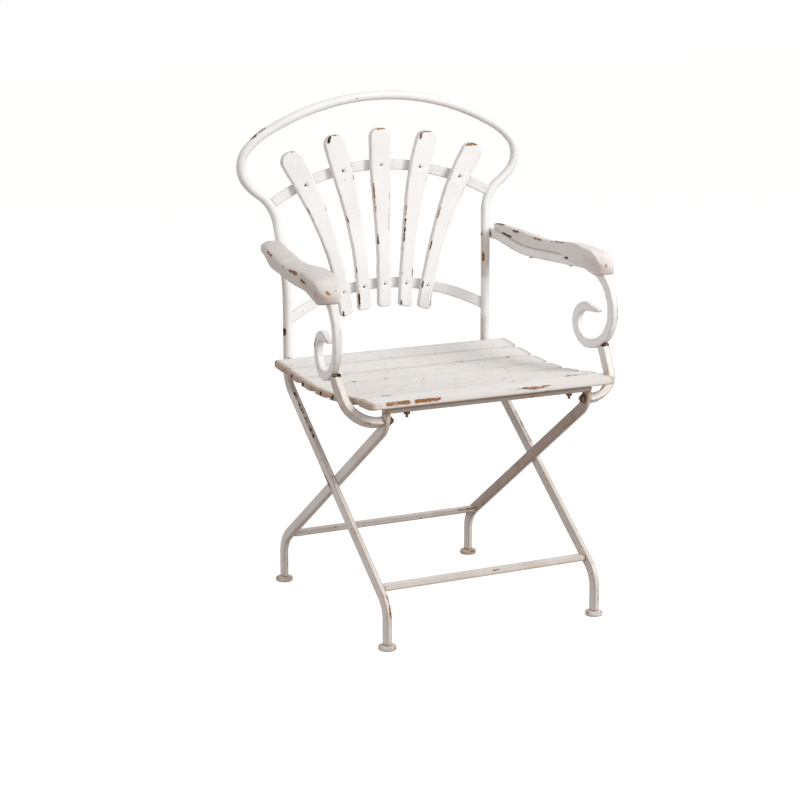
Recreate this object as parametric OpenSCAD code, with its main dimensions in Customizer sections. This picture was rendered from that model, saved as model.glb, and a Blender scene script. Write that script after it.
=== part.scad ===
// Garden armchair: welded flat-bar legs, a bent tube back with a fan of five
// slats, scrolled arms with wooden rests and a seat of seven wooden slats.
// Millimetres. X across, Y to the back, Z up. Origin on the floor, mid feet.

/* [Overall] */
// Distance between front and rear foot centres
foot_depth = 454; // [380:2:560]
// Distance across the outer faces of the front legs
leg_span = 432.5; // [380:0.5:520]
// Height of the underside of the front seat rail
rail_z = 415; // [395:1:450]
// Height of the top of the back tube, centre line
back_top_z = 919.5; // [880:1:1000]

/* [Flat bar] */
// Width of the leg and rail bar
bar_w = 20; // [14:1:26]
// Thickness of the leg and rail bar
bar_t = 9.5; // [6:0.5:14]
// Centre-line radius of the leg bends
leg_bend_r = 55; // [30:1:65]
// Height of the underside of the front crossbar
front_cross_z = 97; // [85:1:112]
// Height of the underside of the rear crossbar
rear_cross_z = 95.5; // [85:1:110]

/* [Feet] */
// Foot diameter
foot_d = 32; // [26:1:44]
// Foot height
foot_h = 8; // [5:0.5:14]

/* [Back] */
// Outer diameter of the back tube
tube_d = 17; // [12:0.5:22]
// How far the top of the back lies behind its foot
back_lean = 26; // [10:1:50]
// Height of the back bands' bars
band_h = 20; // [14:1:26]
// Thickness of the back bands
band_t = 4; // [3:0.5:7]
// Height of the upper band's middle
upper_band_z = 789.5; // [770:1:810]
// Height of the lower band's middle
lower_band_z = 566; // [550:1:600]
// Thickness of the back slats
back_slat_t = 12; // [8:0.5:16]
// Width of a back slat at its head
back_slat_head = 42; // [34:1:50]
// Width of a back slat at its foot
back_slat_foot = 26; // [20:1:32]
// Angle between the second slat and the upright middle one
fan_inner = 9.4; // [6:0.1:10.5]
// Angle between the outer slat and the upright middle one
fan_outer = 19.7; // [17:0.1:21]
// How far the second slat is bowed towards the middle between its screws
bow_inner = 5.5; // [0:0.5:7]
// How far the outer slat is bowed towards the middle between its screws
bow_outer = 8; // [0:0.5:10]

/* [Seat] */
// Length of the seat slats
seat_w = 494; // [440:2:540]
// Width of one seat slat
seat_slat_w = 52; // [36:0.5:55]
// Pitch of the seat slats
seat_pitch = 58.5; // [56:0.5:59]
// Thickness of the seat slats
seat_slat_t = 12; // [8:0.5:16]
// Thickness of the straps under the slats
strap_t = 3; // [2:0.5:5]
// Distance of each strap from the middle
strap_x = 163; // [120:1:172]
// Radius of the dish in the seat
dish_r = 800; // [600:10:1200]

/* [Arms] */
// Width of the arm bar across the arm
arm_bar_t = 13; // [10:0.5:16]
// Height of the arm bar
arm_bar_w = 17; // [13:0.5:20]
// Angle by which the left arm has sagged about its bolt
left_sag = 1.8; // [0:0.1:3]
// How far the left arm has slipped down on its bolt
left_slip = 3; // [0:0.5:4]
// Angle by which the right arm has sagged about its bolt
right_sag = 0.4; // [0:0.1:3]
// Angle at which the arms open to the front
arm_splay = 7; // [2:0.5:9]
// Height of the arm bar where it meets the back
arm_z = 648; // [636:1:660]
// Height of the wooden rest over the arm bar
armrest_t = 23; // [16:1:30]

/* [Fasteners] */
// Diameter of the arm and bracket bolts
bolt_d = 7; // [5:0.5:8]
// Diameter of the seat rail bolts
stud_d = 5; // [4:0.5:6]
// Diameter of the wood screws
screw_d = 3.5; // [2.5:0.5:5]
// Clearance round a bolt or screw in metal
hole_gap = 0.3; // [0.1:0.1:0.6]

/* [Hidden] */
$fn = 48;
LEFT = -1;
RIGHT = 1;
arc_step = 6;
far = 1000;
wood = [0.93, 0.91, 0.87];
paint = [0.88, 0.85, 0.81];
steel = [0.55, 0.47, 0.41];

// Places that several pieces share
foot_y = foot_depth / 2;
front_leg_x = leg_span / 2 - bar_t / 2;
rear_leg_x = front_leg_x - bar_t;
leg_inner_x = leg_span / 2 - bar_t;
rail_y = -foot_y + 22;
rail_top = rail_z + bar_t;
upright_y = foot_y - 46;
upright_x = leg_span / 2 - 6.25;
leg_cross_z = 250.5;
front_leg_slope = 0.795;
rear_leg_slope = 0.716;
rail_bend_r = min(leg_bend_r, 45);
leg_cross_y = -9;
tube_r = tube_d / 2;
back_y = upright_y + back_lean;
lean_z = 585;
waist_z = 728;
shoulder_z = 801;

// The seat curve: a dish that runs out into straight slopes front and rear
seat_front_y = -foot_y - 6;
dish_y = -foot_y + 195;
dip_front = 96;
dip_rear = 100;
flat_front_y = seat_front_y + seat_slat_w + 1;
flat_rear_y = seat_front_y + 6 * seat_pitch + seat_slat_w + 1;
strap_rear_y = upright_y + bar_w / 2;
strap_front_top = rail_top + strap_t;
function dish(t) =
    t < -dip_front ? (-dip_front * (2 * t + dip_front)) / (2 * dish_r) :
    t > dip_rear ? (dip_rear * (2 * t - dip_rear)) / (2 * dish_r) : t * t / (2 * dish_r);
function strap_top(y) = strap_front_top - dish(flat_front_y - dish_y)
    + dish(min(max(y, flat_front_y), flat_rear_y) - dish_y);
rear_rail_z = strap_top(strap_rear_y) - strap_t - bar_t;
leg_top_z = rear_rail_z + bar_t + 3;

// Vectors, and round bends laid into the corners of a path
function unit(v) = v / norm(v);
function turn(u, v) = acos(min(1, u * v));
function reverse(list) = [for (i = [len(list) - 1:-1:0]) list[i]];
function spin(v, a) = [v.x * cos(a) - v.y * sin(a), v.x * sin(a) + v.y * cos(a)];
function side_of(u, v) = u.x * v.y - u.y * v.x < 0 ? -1 : 1;

// Points of one round bend at a given offset to the left of the path
function bend_side(a, b, c, r, off) =
    let (u = unit(b - a), v = unit(c - b), s = side_of(u, v), t = turn(u, v), n = [-u.y, u.x],
        centre = b - u * r * tan(t / 2) + n * s * r, steps = max(1, ceil(t / arc_step)))
    [for (k = [0:steps]) centre + (off - s * r) * spin(n, s * t * k / steps)];
function path_side(p, radii, off) =
    let (last = len(p) - 1, u = unit(p[1] - p[0]), v = unit(p[last] - p[last - 1]))
    concat([p[0] + off * [-u.y, u.x]],
        [for (i = [1:last - 1]) each bend_side(p[i - 1], p[i], p[i + 1], radii[i - 1], off)],
        [p[last] + off * [-v.y, v.x]]);
// A bar of width w that follows the path
module bent_strip(p, radii, w) {
    polygon(concat(path_side(p, radii, w / 2), reverse(path_side(p, radii, -w / 2))));
}
// A closed outline with each corner rounded by its own radius
module rounded_outline(p, radii) {
    n = len(p);
    polygon([for (i = [0:n - 1]) each bend_side(p[(i + n - 1) % n], p[i], p[(i + 1) % n], radii[i], 0)]);
}

// An outline drawn as (y, z) becomes a plate of thickness t, centred on x
module side_plate(x, t) {
    translate([x - t / 2, 0, 0]) rotate([90, 0, 90]) linear_extrude(t) children();
}
// An outline drawn as (x, z) becomes a plate from y0 to y1
module front_plate(y0, y1) {
    translate([0, y1, 0]) rotate([90, 0, 0]) linear_extrude(y1 - y0) children();
}
module on_side(side) {
    if (side == LEFT) mirror([1, 0, 0]) children();
    else children();
}
module both_sides() {
    on_side(LEFT) children();
    on_side(RIGHT) children();
}

// A round bar from a to b
module straight_tube(a, b, d) {
    u = unit(b - a);
    translate(a) rotate([0, acos(u.z), atan2(u.y, u.x)]) cylinder(h = norm(b - a), d = d);
}

// The back tube: upright, lean, waist, shoulder and the flat arch on top
arch_rise = back_top_z - 919.5;
back_corners = [[upright_x, upright_y, leg_top_z], [upright_x, upright_y, lean_z],
    [upright_x + 13, back_y, waist_z], [upright_x + 54, back_y, waist_z + 27],
    [upright_x + 95.6, back_y, shoulder_z], [upright_x + 45.7, back_y, shoulder_z + 50],
    [0, back_y, 987 + arch_rise]];
back_radii = [350, 74, 95, 47, 150];
arch_r = 500;
tube_sides = 16;
function mirrored(p) = [for (i = [len(p) - 2:-1:0]) [-p[i].x, p[i].y, p[i].z]];
// Points of a round bend in space, and of the whole bent path
function bend_points(a, b, c, r) =
    let (u = unit(b - a), v = unit(c - b), t = turn(u, v), inward = unit(v - u * (u * v)),
        centre = b - u * r * tan(t / 2) + inward * r, steps = max(1, ceil(t / 8)))
    [for (k = [0:steps]) centre + r * (u * sin(t * k / steps) - inward * cos(t * k / steps))];
function bent_path(p, radii) = concat([p[0]],
    [for (i = [1:len(p) - 2]) each bend_points(p[i - 1], p[i], p[i + 1], radii[i - 1])], [p[len(p) - 1]]);
module swept_tube(path, d) {
    last = len(path) - 1;
    rings = [for (i = [0:last])
        let (t = unit(path[min(i + 1, last)] - path[max(i - 1, 0)]), m = unit(cross(t, [0, 1, 0])),
            n = cross(m, t))
        each [for (k = [0:tube_sides - 1]) path[i]
            + d / 2 * (m * cos(360 * k / tube_sides) + n * sin(360 * k / tube_sides))]];
    walls = [for (i = [0:last - 1]) each [for (k = [0:tube_sides - 1])
        let (j = (k + 1) % tube_sides, a = i * tube_sides, b = a + tube_sides)
        [a + k, a + j, b + j, b + k]]];
    ends = [[for (k = [tube_sides - 1:-1:0]) k], [for (k = [0:tube_sides - 1]) last * tube_sides + k]];
    polyhedron(rings, concat(walls, ends), convexity = 6);
}
module back_frame() {
    color(paint) difference() {
        swept_tube(bent_path(concat(back_corners, mirrored(back_corners)),
            concat(back_radii, [arch_r], reverse(back_radii))), tube_d);
        both_sides() arm_bolt_shape();
    }
}
function upright_at(z) = back_corners[1]
    + (back_corners[2] - back_corners[1]) * (z - lean_z) / (waist_z - lean_z);

// Back bands: a bar bent in an arch and bowed to the rear, trimmed on the tube
upper_arch_r = 470;
lower_arch_r = 442;
upper_bow_r = 1150;
lower_bow_r = 840;
upper_front_y = back_y + 17;
lower_front_y = upright_y + 26.7;
// The middle of a band's front face at a distance x from the middle
function arch_z(top_z, r, x) = top_z - r + sqrt(r * r - x * x);
function bow_y(front_y, r, x) = front_y - r + sqrt(r * r - x * x);
module disc_ring(r_in, r_out, z0, z1) {
    difference() {
        translate([0, 0, z0]) cylinder(h = z1 - z0, r = r_out, $fn = 180);
        translate([0, 0, z0 - 1]) cylinder(h = z1 - z0 + 2, r = r_in, $fn = 180);
    }
}
module band(mid_z, arch_r, front_y, bow_r, half_w) {
    intersection() {
        translate([0, 0, mid_z - arch_r]) rotate([90, 0, 0])
            disc_ring(arch_r - band_h / 2, arch_r + band_h / 2, -far, 0);
        translate([0, front_y - bow_r, 0]) disc_ring(bow_r, bow_r + band_t, 0, far);
        translate([-half_w, 0, mid_z - arch_r / 2]) cube([2 * half_w, far, arch_r]);
    }
}
module band_holes(top_z, arch_r, angles) {
    for (a = angles) screw_axis(a, slat_x(a, top_z, arch_r), top_z, arch_r)
        rotate([-90, 0, 0]) translate([0, 0, -far / 2]) cylinder(h = far, d = screw_d + hole_gap);
}
module upper_band() {
    color(paint) difference() {
        band(upper_band_z, upper_arch_r, upper_front_y, upper_bow_r, upright_x + 21);
        both_sides() swept_tube(bent_path([for (i = [1:4]) back_corners[i]],
            [back_radii[1], back_radii[2]]), tube_d);
        band_holes(upper_band_z, upper_arch_r, fan);
    }
}
module lower_band() {
    color(paint) difference() {
        band(lower_band_z, lower_arch_r, lower_front_y, lower_bow_r, upright_x);
        both_sides() straight_tube(back_corners[0], back_corners[1], tube_d);
        band_holes(lower_band_z, lower_arch_r, fan);
    }
}

// Back slats: they fan out from a point below the seat
fan = [-fan_outer, -fan_inner, 0, fan_inner, fan_outer];
function fan_start(a) = abs(a) < 1 ? [0, lower_band_z]
    : [sign(a) * (abs(a) > 15 ? 89 : 45), arch_z(lower_band_z, lower_arch_r, abs(a) > 15 ? 89 : 45)];
// Where the slat's axis crosses the arch of a band, found from its start point
function slat_x(a, mid_z, r) = mid_z < 700 ? fan_start(a).x
    : let (s = fan_start(a), c = mid_z - r, b = s.x * sin(a) + (s.y - c) * cos(a),
        q = s.x * s.x + (s.y - c) * (s.y - c) - r * r) s.x + sin(a) * (-b + sqrt(b * b - q));
module screw_axis(a, x, mid_z, r) {
    translate([x, 0, arch_z(mid_z, r, x)]) children();
}
slat_below = 44;
slat_above = 70;
slat_foot_r = 6;
slat_head_r = 18;
slat_long_r = 300;
// Stations along a slat: share of the way between its screws, half its width
head_w = back_slat_head / 2;
foot_w = back_slat_foot / 2;
slat_stations = [[0, foot_w], [0.3, foot_w - 0.7], [0.58, foot_w + 1.6], [0.8, head_w - 3.2], [1.06, head_w]];
function slat_bow(a) = abs(a) < 1 ? 0 : sign(a) * (abs(a) > 15 ? bow_outer : bow_inner);
module slat_face(a, length) {
    reach = length - slat_below - slat_above;
    shift = slat_bow(a);
    stations = concat([[-slat_below / reach, foot_w]], slat_stations, [[1 + slat_above / reach, head_w]]);
    sides = [for (end = [-1, 1]) [for (st = stations)
        [-4 * shift * st.x * (1 - st.x) + end * st.y, slat_below + st.x * reach]]];
    long = [for (st = slat_stations) slat_long_r];
    rounded_outline(concat(sides[1], reverse(sides[0])),
        concat([slat_foot_r], long, [slat_head_r, slat_head_r], long, [slat_foot_r]));
}
// Seen from the side a slat is upright at each band and leans between them
module slat_side(y_low, y_high, length) {
    dy = y_high - y_low;
    mid = length * 0.5;
    bent_strip([[y_low - dy * 0.15, -5], [y_low, 80], [y_high - dy * 0.15, mid + 75],
        [y_high + dy * 0.1, length + 40]], [250, 250], back_slat_t);
}
module back_slat(i) {
    a = fan[i];
    x_low = fan_start(a).x;
    z_low = fan_start(a).y;
    x_high = slat_x(a, upper_band_z, upper_arch_r);
    z_high = arch_z(upper_band_z, upper_arch_r, x_high);
    length = norm([x_high - x_low, z_high - z_low]) + slat_below + slat_above;
    y_low = bow_y(lower_front_y, lower_bow_r, abs(x_low) + back_slat_foot / 2) - back_slat_t / 2;
    y_high = bow_y(upper_front_y, upper_bow_r, abs(x_high) + back_slat_head / 2) - back_slat_t / 2;
    color(wood) difference() {
        translate([x_low, 0, z_low]) rotate([0, a, 0]) translate([0, 0, -slat_below])
            intersection() {
                front_plate(-far, far) slat_face(a, length);
                side_plate(0, back_slat_head * 3) slat_side(y_low, y_high, length);
            }
        slat_screw_bores(a);
    }
}
screw_head_d = 8;
screw_head_h = 2;
module slat_screw(a, mid_z, arch_r, front_y, bow_r, gap) {
    x = slat_x(a, mid_z, arch_r);
    y = bow_y(front_y, bow_r, abs(x));
    screw_axis(a, x, mid_z, arch_r) {
        translate([0, y + band_t + 1, 0]) rotate([90, 0, 0]) cylinder(h = back_slat_t + band_t, d = screw_d);
        translate([0, y - back_slat_t + 2, 0]) rotate([90, 0, 0]) cylinder(h = gap, d = screw_head_d);
    }
}
module slat_screw_bores(a) {
    slat_screw(a, upper_band_z, upper_arch_r, upper_front_y, upper_bow_r, 20);
    slat_screw(a, lower_band_z, lower_arch_r, lower_front_y, lower_bow_r, 20);
}
module back_slat_screws() {
    color(steel) for (a = fan) {
        slat_screw(a, upper_band_z, upper_arch_r, upper_front_y, upper_bow_r, screw_head_h);
        slat_screw(a, lower_band_z, lower_arch_r, lower_front_y, lower_bow_r, screw_head_h);
    }
}

// Legs: flat bar bent in the side plane
module front_leg(side) {
    color(paint) on_side(side) side_plate(front_leg_x, bar_t)
        bent_strip([[-foot_y, foot_h], [-foot_y, leg_cross_z - (leg_cross_y + foot_y) * front_leg_slope],
            [upright_y, leg_cross_z + (upright_y - leg_cross_y) * front_leg_slope],
            [upright_y, leg_top_z]], [leg_bend_r, leg_bend_r], bar_w);
}
module rear_leg(side) {
    color(paint) on_side(side) difference() {
        side_plate(rear_leg_x, bar_t)
            bent_strip([[foot_y, foot_h], [foot_y, leg_cross_z - (foot_y - leg_cross_y) * rear_leg_slope],
                [rail_y, leg_cross_z + (leg_cross_y - rail_y) * rear_leg_slope], [rail_y, rail_z]],
                [leg_bend_r, rail_bend_r], bar_w);
        bracket_bolt_axis() cylinder(h = far, d = bolt_d + hole_gap, center = true);
    }
}
module foot(x, y) {
    round_r = 2.5;
    color(steel) translate([x, y, 0]) rotate_extrude() polygon(concat([[0, 0], [foot_d / 2 - 1, 0],
        [foot_d / 2, 1]], [for (a = [0:15:90]) [foot_d / 2 - round_r + round_r * cos(a),
        foot_h - round_r + round_r * sin(a)]], [[0, foot_h]]));
}

// Rails and crossbars
module front_rail() {
    color(paint) difference() {
        translate([-leg_inner_x, rail_y - bar_w / 2, rail_z]) cube([2 * leg_inner_x, bar_w, bar_t]);
        both_sides() stud_axis() cylinder(h = far, d = stud_d + hole_gap);
    }
}
module rear_rail() {
    color(paint) difference() {
        translate([-leg_inner_x, upright_y - bar_w / 2, rear_rail_z])
            cube([2 * leg_inner_x, bar_w, bar_t]);
        both_sides() straight_tube(back_corners[0], back_corners[1], tube_d);
    }
}
module front_crossbar() {
    color(paint) translate([-leg_inner_x, -foot_y + 22, front_cross_z])
        cube([2 * leg_inner_x, bar_w, bar_t]);
}
rear_inner_x = rear_leg_x - bar_t / 2;
module rear_crossbar() {
    color(paint) translate([-rear_inner_x, foot_y - 40, rear_cross_z])
        cube([2 * rear_inner_x, bar_w, bar_t]);
}

// Seat: seven slats lie on two dished straps
function seat_slat_y(i) = seat_front_y + (7 - i) * seat_pitch;
module on_seat(i) {
    y0 = seat_slat_y(i);
    z0 = strap_top(y0);
    z1 = strap_top(y0 + seat_slat_w);
    translate([0, y0, z0]) rotate([atan2(z1 - z0, seat_slat_w), 0, 0]) children();
}
module seat_slat(i) {
    corner_r = 12;
    color(wood) difference() {
        on_seat(i) linear_extrude(seat_slat_t) rounded_outline([[-seat_w / 2, 0], [seat_w / 2, 0],
            [seat_w / 2, seat_slat_w], [-seat_w / 2, seat_slat_w]], [for (k = [1:4]) corner_r]);
        both_sides() {
            if (i < 7) seat_screw(i);
            if (i == 7) stud();
        }
    }
}
module seat_screw(i, d = screw_d) {
    translate([strap_x, 0, 0]) on_seat(i) translate([0, seat_slat_w / 2, 0]) {
        translate([0, 0, -strap_t - 0.5]) cylinder(h = strap_t + seat_slat_t * 0.7, d = d);
    }
}
module seat_screw_head(i) {
    translate([strap_x, 0, 0]) on_seat(i) translate([0, seat_slat_w / 2, -strap_t - screw_head_h])
        cylinder(h = screw_head_h, d = screw_head_d);
}
module seat_slat_screws() {
    color(steel) both_sides() for (i = [1:6]) {
        seat_screw(i);
        seat_screw_head(i);
    }
}
// The strap runs straight under each slat and turns in the gaps between them
module seat_strap_blank() {
    ys = concat([rail_y - bar_w / 2, flat_front_y],
        [for (i = [6:-1:1]) each [seat_slat_y(i), seat_slat_y(i) + seat_slat_w]],
        [flat_rear_y, strap_rear_y]);
    side_plate(strap_x, bar_w) polygon(concat([for (y = ys) [y, strap_top(y)]],
        reverse([for (y = ys) [y, strap_top(y) - strap_t]])));
}
module seat_strap(side) {
    color(paint) on_side(side) difference() {
        seat_strap_blank();
        for (i = [1:6]) seat_screw(i, screw_d + hole_gap);
        stud_axis() cylinder(h = far, d = stud_d + hole_gap);
    }
}
nut_h = 5;
stud_tip = 6;
module stud_axis() {
    translate([strap_x, rail_y - 2, rail_z - nut_h - stud_tip]) children();
}
module stud() {
    stud_axis() cylinder(h = nut_h + stud_tip + bar_t + strap_t + 8, d = stud_d);
}
module rail_studs() {
    color(steel) both_sides() stud();
}
module rail_nuts() {
    color(steel) both_sides() difference() {
        stud_axis() translate([0, 0, stud_tip]) cylinder(h = nut_h, d = 12.7, $fn = 6);
        stud();
    }
}

// Arms: each arm bar, scroll and rest lies in an upright plane that opens forward
arm_root = upright_at(arm_z) + [(tube_r + arm_bar_t / 2) / cos(arm_splay), 5.5, 0];
module arm_plane(side) {
    sag = side == LEFT ? left_sag : right_sag;
    slip = side == LEFT ? left_slip : 0;
    on_side(side) translate([arm_root.x, arm_root.y, arm_z - slip]) rotate([0, 0, arm_splay - 90])
        rotate([0, sag, 0]) translate([0, 0, -arm_z]) children();
}
// A plate in the arm plane from w0 to w1, outward of the bar's middle
module arm_plate(side, w0, w1) {
    arm_plane(side) translate([0, w1, 0]) rotate([90, 0, 0]) linear_extrude(w1 - w0) children();
}
arm_level = arm_z - 21;
arm_reach = 371;
scroll_low = arm_level - 145.5;
scroll_back = arm_reach - 100;
scroll_eye = scroll_low + 68;
arm_path = [[-12, arm_z], [25, arm_z], [105, arm_level], [arm_reach, arm_level],
    [arm_reach, scroll_low], [scroll_back, scroll_low], [scroll_back, scroll_eye],
    [scroll_back + 31, scroll_eye]];
arm_radii = [90, 250, 80, 62, 38, 29.9];
module arm_outline() {
    bent_strip(arm_path, arm_radii, arm_bar_w);
    tip_x = scroll_back + 31;
    polygon([[tip_x - 0.5, scroll_eye - arm_bar_w / 2], [tip_x - 0.5, scroll_eye + arm_bar_w / 2],
        [tip_x + 34, scroll_eye - 2], [tip_x + 34, scroll_eye - 7]]);
}
module arm_bar_blank(side) {
    arm_plate(side, -arm_bar_t / 2, arm_bar_t / 2) arm_outline();
}
module arm_bar(side) {
    color(paint) difference() {
        arm_bar_blank(side);
        on_side(side) straight_tube(back_corners[1], back_corners[2], tube_d);
        on_side(side) arm_bolt_shape();
        for (s = armrest_screw_s) arm_screw(side, s);
    }
}

// Wooden rests: a long wave on top of the bar that rolls down over its nose
function bar_top(s) = s < 25 ? arm_z + arm_bar_w / 2
    : s < 105 ? arm_z + arm_bar_w / 2 - (s - 25) * 21 / 80 : arm_level + arm_bar_w / 2;
module armrest_profile() {
    t = armrest_t;
    lap = 10;
    rounded_outline([[-4, bar_top(0) - lap], [28, bar_top(0) - lap - 2], [84, bar_top(84) - lap],
        [225, bar_top(225) - lap], [290, bar_top(290) - lap], [334, arm_level - 16], [352, arm_level - 14],
        [355, arm_level + 4], [326, arm_level + t + 6], [268, arm_level + t + 13],
        [170, arm_level + t + 6], [34, arm_z + t], [-4, bar_top(0) + t * 0.45]],
        [7, 40, 80, 60, 40, 5, 7, 14, 30, 90, 300, 60, 9]);
}
module armrest_plan() {
    inner = -arm_bar_t / 2 + 0.1;
    rounded_outline([[-3, 24], [-3, 9], [28, inner], [90, inner], [225, inner], [300, -18], [354, -16],
        [354, 23], [300, 31], [205, 33], [80, 31]], [10, 6, 30, 300, 80, 50, 14, 20, 90, 200, 100]);
}
module armrest(side) {
    color(wood) difference() {
        intersection() {
            arm_plate(side, -40, 40) armrest_profile();
            arm_plane(side) translate([0, 0, arm_level - 60]) linear_extrude(200) armrest_plan();
        }
        arm_bar_blank(side);
        for (s = armrest_screw_s) arm_screw(side, s);
    }
}
armrest_screw_s = [130, 250];
module arm_screw(side, s) {
    arm_plane(side) translate([s, 0, arm_level - arm_bar_w / 2]) cylinder(h = arm_bar_w + 12, d = screw_d);
}
module armrest_screws() {
    color(steel) for (side = [LEFT, RIGHT]) for (s = armrest_screw_s) {
        arm_screw(side, s);
        arm_plane(side) translate([s, 0, arm_level - arm_bar_w / 2 - screw_head_h])
            cylinder(h = screw_head_h, d = screw_head_d);
    }
}

// A bolt ties each arm to its upright
module arm_bolt_axis() {
    translate([upright_at(arm_z).x, upright_at(arm_z).y, arm_z]) rotate([0, 90, 0]) children();
}
module arm_bolt_shape() {
    arm_bolt_axis() translate([0, 0, -tube_r]) cylinder(h = tube_d + arm_bar_t * 0.8, d = bolt_d);
}
module arm_bolts() {
    color(steel) both_sides() arm_bolt_shape();
}

// Brackets: from the scroll down, round the seat's edge and in to the rear leg
bracket_tilt = 33;
bracket_low = [leg_span / 2 - bar_t, rail_y + 6, rail_z - 16];
bracket_drop = 89;
bracket_out = 58;
bracket_r = 57.9 / (1 + 8 / 105);
bracket_w = arm_bar_t + 2;
bracket_d = arm_bar_w + 2;
module bracket_plane() {
    translate([0, bracket_low.y + bracket_drop * sin(bracket_tilt),
        bracket_low.z + bracket_drop * cos(bracket_tilt)])
        rotate([90 - bracket_tilt, 0, 0]) children();
}
module arm_bracket(side) {
    color(paint) difference() {
        on_side(side) bracket_plane() linear_extrude(bracket_d, center = true)
            bent_strip([[bracket_low.x + bracket_out + 8, 16], [bracket_low.x + bracket_out, -bracket_drop],
                [bracket_low.x, -bracket_drop]], [bracket_r], bracket_w);
        arm_plane(side) translate([arm_reach - 62, 0, scroll_low + 62]) rotate([90, 0, 0])
            cylinder(h = 60, r = 62 + arm_bar_w / 2, center = true, $fn = 120);
        on_side(side) bracket_bolt_axis() cylinder(h = far, d = bolt_d, center = true);
    }
}
bracket_bolt_z = rail_z - 14.3;
washer_t = 2;
module bracket_bolt_axis() {
    translate([0, rail_y + 2, bracket_bolt_z]) rotate([0, 90, 0]) children();
}
module bracket_bolt_shape() {
    bracket_bolt_axis() translate([0, 0, rear_inner_x - 10]) cylinder(h = 10 + bar_t + 12, d = bolt_d);
}
module bracket_bolts() {
    color(steel) both_sides() bracket_bolt_shape();
}
module bracket_washers() {
    color(steel) both_sides() bracket_bolt_axis() translate([0, 0, rear_inner_x - washer_t])
        difference() {
            cylinder(h = washer_t, d = 19);
            translate([0, 0, -1]) cylinder(h = washer_t + 2, d = bolt_d + hole_gap);
        }
}
module bracket_nuts() {
    color(steel) both_sides() bracket_bolt_axis() translate([0, 0, rear_inner_x - washer_t - nut_h])
        difference() {
            cylinder(h = nut_h, d = 14, $fn = 6);
            translate([0, 0, -1]) cylinder(h = nut_h + 2, d = bolt_d);
        }
}

back_frame();
upper_band();
lower_band();
back_slat(0);  // back_slat_1
back_slat(1);  // back_slat_2
back_slat(2);  // back_slat_3
back_slat(3);  // back_slat_4
back_slat(4);  // back_slat_5
back_slat_screws();
front_leg(LEFT);  // front_leg_left
front_leg(RIGHT);  // front_leg_right
rear_leg(LEFT);  // rear_leg_left
rear_leg(RIGHT);  // rear_leg_right
front_rail();
rear_rail();
front_crossbar();
rear_crossbar();
foot(-front_leg_x, -foot_y);  // foot_front_left
foot(front_leg_x, -foot_y);  // foot_front_right
foot(-rear_leg_x, foot_y);  // foot_rear_left
foot(rear_leg_x, foot_y);  // foot_rear_right
seat_slat(1);  // seat_slat_1
seat_slat(2);  // seat_slat_2
seat_slat(3);  // seat_slat_3
seat_slat(4);  // seat_slat_4
seat_slat(5);  // seat_slat_5
seat_slat(6);  // seat_slat_6
seat_slat(7);  // seat_slat_7
seat_strap(LEFT);  // seat_strap_left
seat_strap(RIGHT);  // seat_strap_right
seat_slat_screws();
rail_studs();
rail_nuts();
arm_bar(LEFT);  // arm_bar_left
arm_bar(RIGHT);  // arm_bar_right
armrest(LEFT);  // armrest_left
armrest(RIGHT);  // armrest_right
armrest_screws();
arm_bracket(LEFT);  // arm_bracket_left
arm_bracket(RIGHT);  // arm_bracket_right
arm_bolts();
bracket_bolts();
bracket_washers();
bracket_nuts();
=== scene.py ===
import math

import bpy
import bmesh
import numpy as np
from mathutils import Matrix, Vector


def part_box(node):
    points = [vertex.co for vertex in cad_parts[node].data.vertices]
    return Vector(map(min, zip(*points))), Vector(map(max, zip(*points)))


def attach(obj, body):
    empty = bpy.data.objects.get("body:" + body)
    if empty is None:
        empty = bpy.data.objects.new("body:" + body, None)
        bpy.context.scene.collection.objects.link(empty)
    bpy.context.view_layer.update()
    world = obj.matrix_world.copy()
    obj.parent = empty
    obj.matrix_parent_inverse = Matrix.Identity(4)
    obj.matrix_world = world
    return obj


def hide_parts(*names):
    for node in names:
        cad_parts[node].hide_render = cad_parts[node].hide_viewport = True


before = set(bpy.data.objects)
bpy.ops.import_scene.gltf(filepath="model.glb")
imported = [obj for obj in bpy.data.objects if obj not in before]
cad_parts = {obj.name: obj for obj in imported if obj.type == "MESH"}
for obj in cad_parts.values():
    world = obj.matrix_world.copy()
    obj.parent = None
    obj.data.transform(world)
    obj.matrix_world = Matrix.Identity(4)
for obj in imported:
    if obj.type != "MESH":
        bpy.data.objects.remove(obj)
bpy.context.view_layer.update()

MM = 0.001
BUMP_DEPTH = 0.0004
SLAT_GRID, SEAT_GRID, REST_GRID = 0.0018, 0.0021, 0.0019
BAR_GRID, THIN_BAR_GRID, FOOT_GRID, FIXING_GRID = 0.0018, 0.0013, 0.0012, 0.0006
CROWN_FALL = 11 * MM
EDGE_GAIN = 3.2
OPEN = None


# ---------- small node helpers ----------

def add_node(tree, kind, values=None, **settings):
    made = tree.nodes.new(kind)
    for key, value in settings.items():
        setattr(made, key, value)
    for key, value in (values or {}).items():
        put(tree, made.inputs[key], value)
    return made


def put(tree, socket, value):
    if isinstance(value, bpy.types.NodeSocket):
        tree.links.new(value, socket)
    else:
        socket.default_value = value


def calc(tree, operation, a, b=0.0, c=0.0):
    made = add_node(tree, "ShaderNodeMath", {0: a, 1: b, 2: c}, operation=operation)
    return made.outputs[0]


def fade(tree, value, low, high):
    made = add_node(tree, "ShaderNodeMapRange",
                    {"Value": value, "From Min": low, "From Max": high},
                    interpolation_type="SMOOTHSTEP")
    return made.outputs[0]


def blend_colour(tree, factor, a, b):
    made = add_node(tree, "ShaderNodeMix", {0: factor, 6: a, 7: b}, data_type="RGBA")
    return made.outputs[2]


def cloud(tree, where, scale, detail=3.0, roughness=0.6):
    made = add_node(tree, "ShaderNodeTexNoise",
                    {"Vector": where, "Scale": scale, "Detail": detail, "Roughness": roughness})
    return made.outputs["Fac"]


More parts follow.
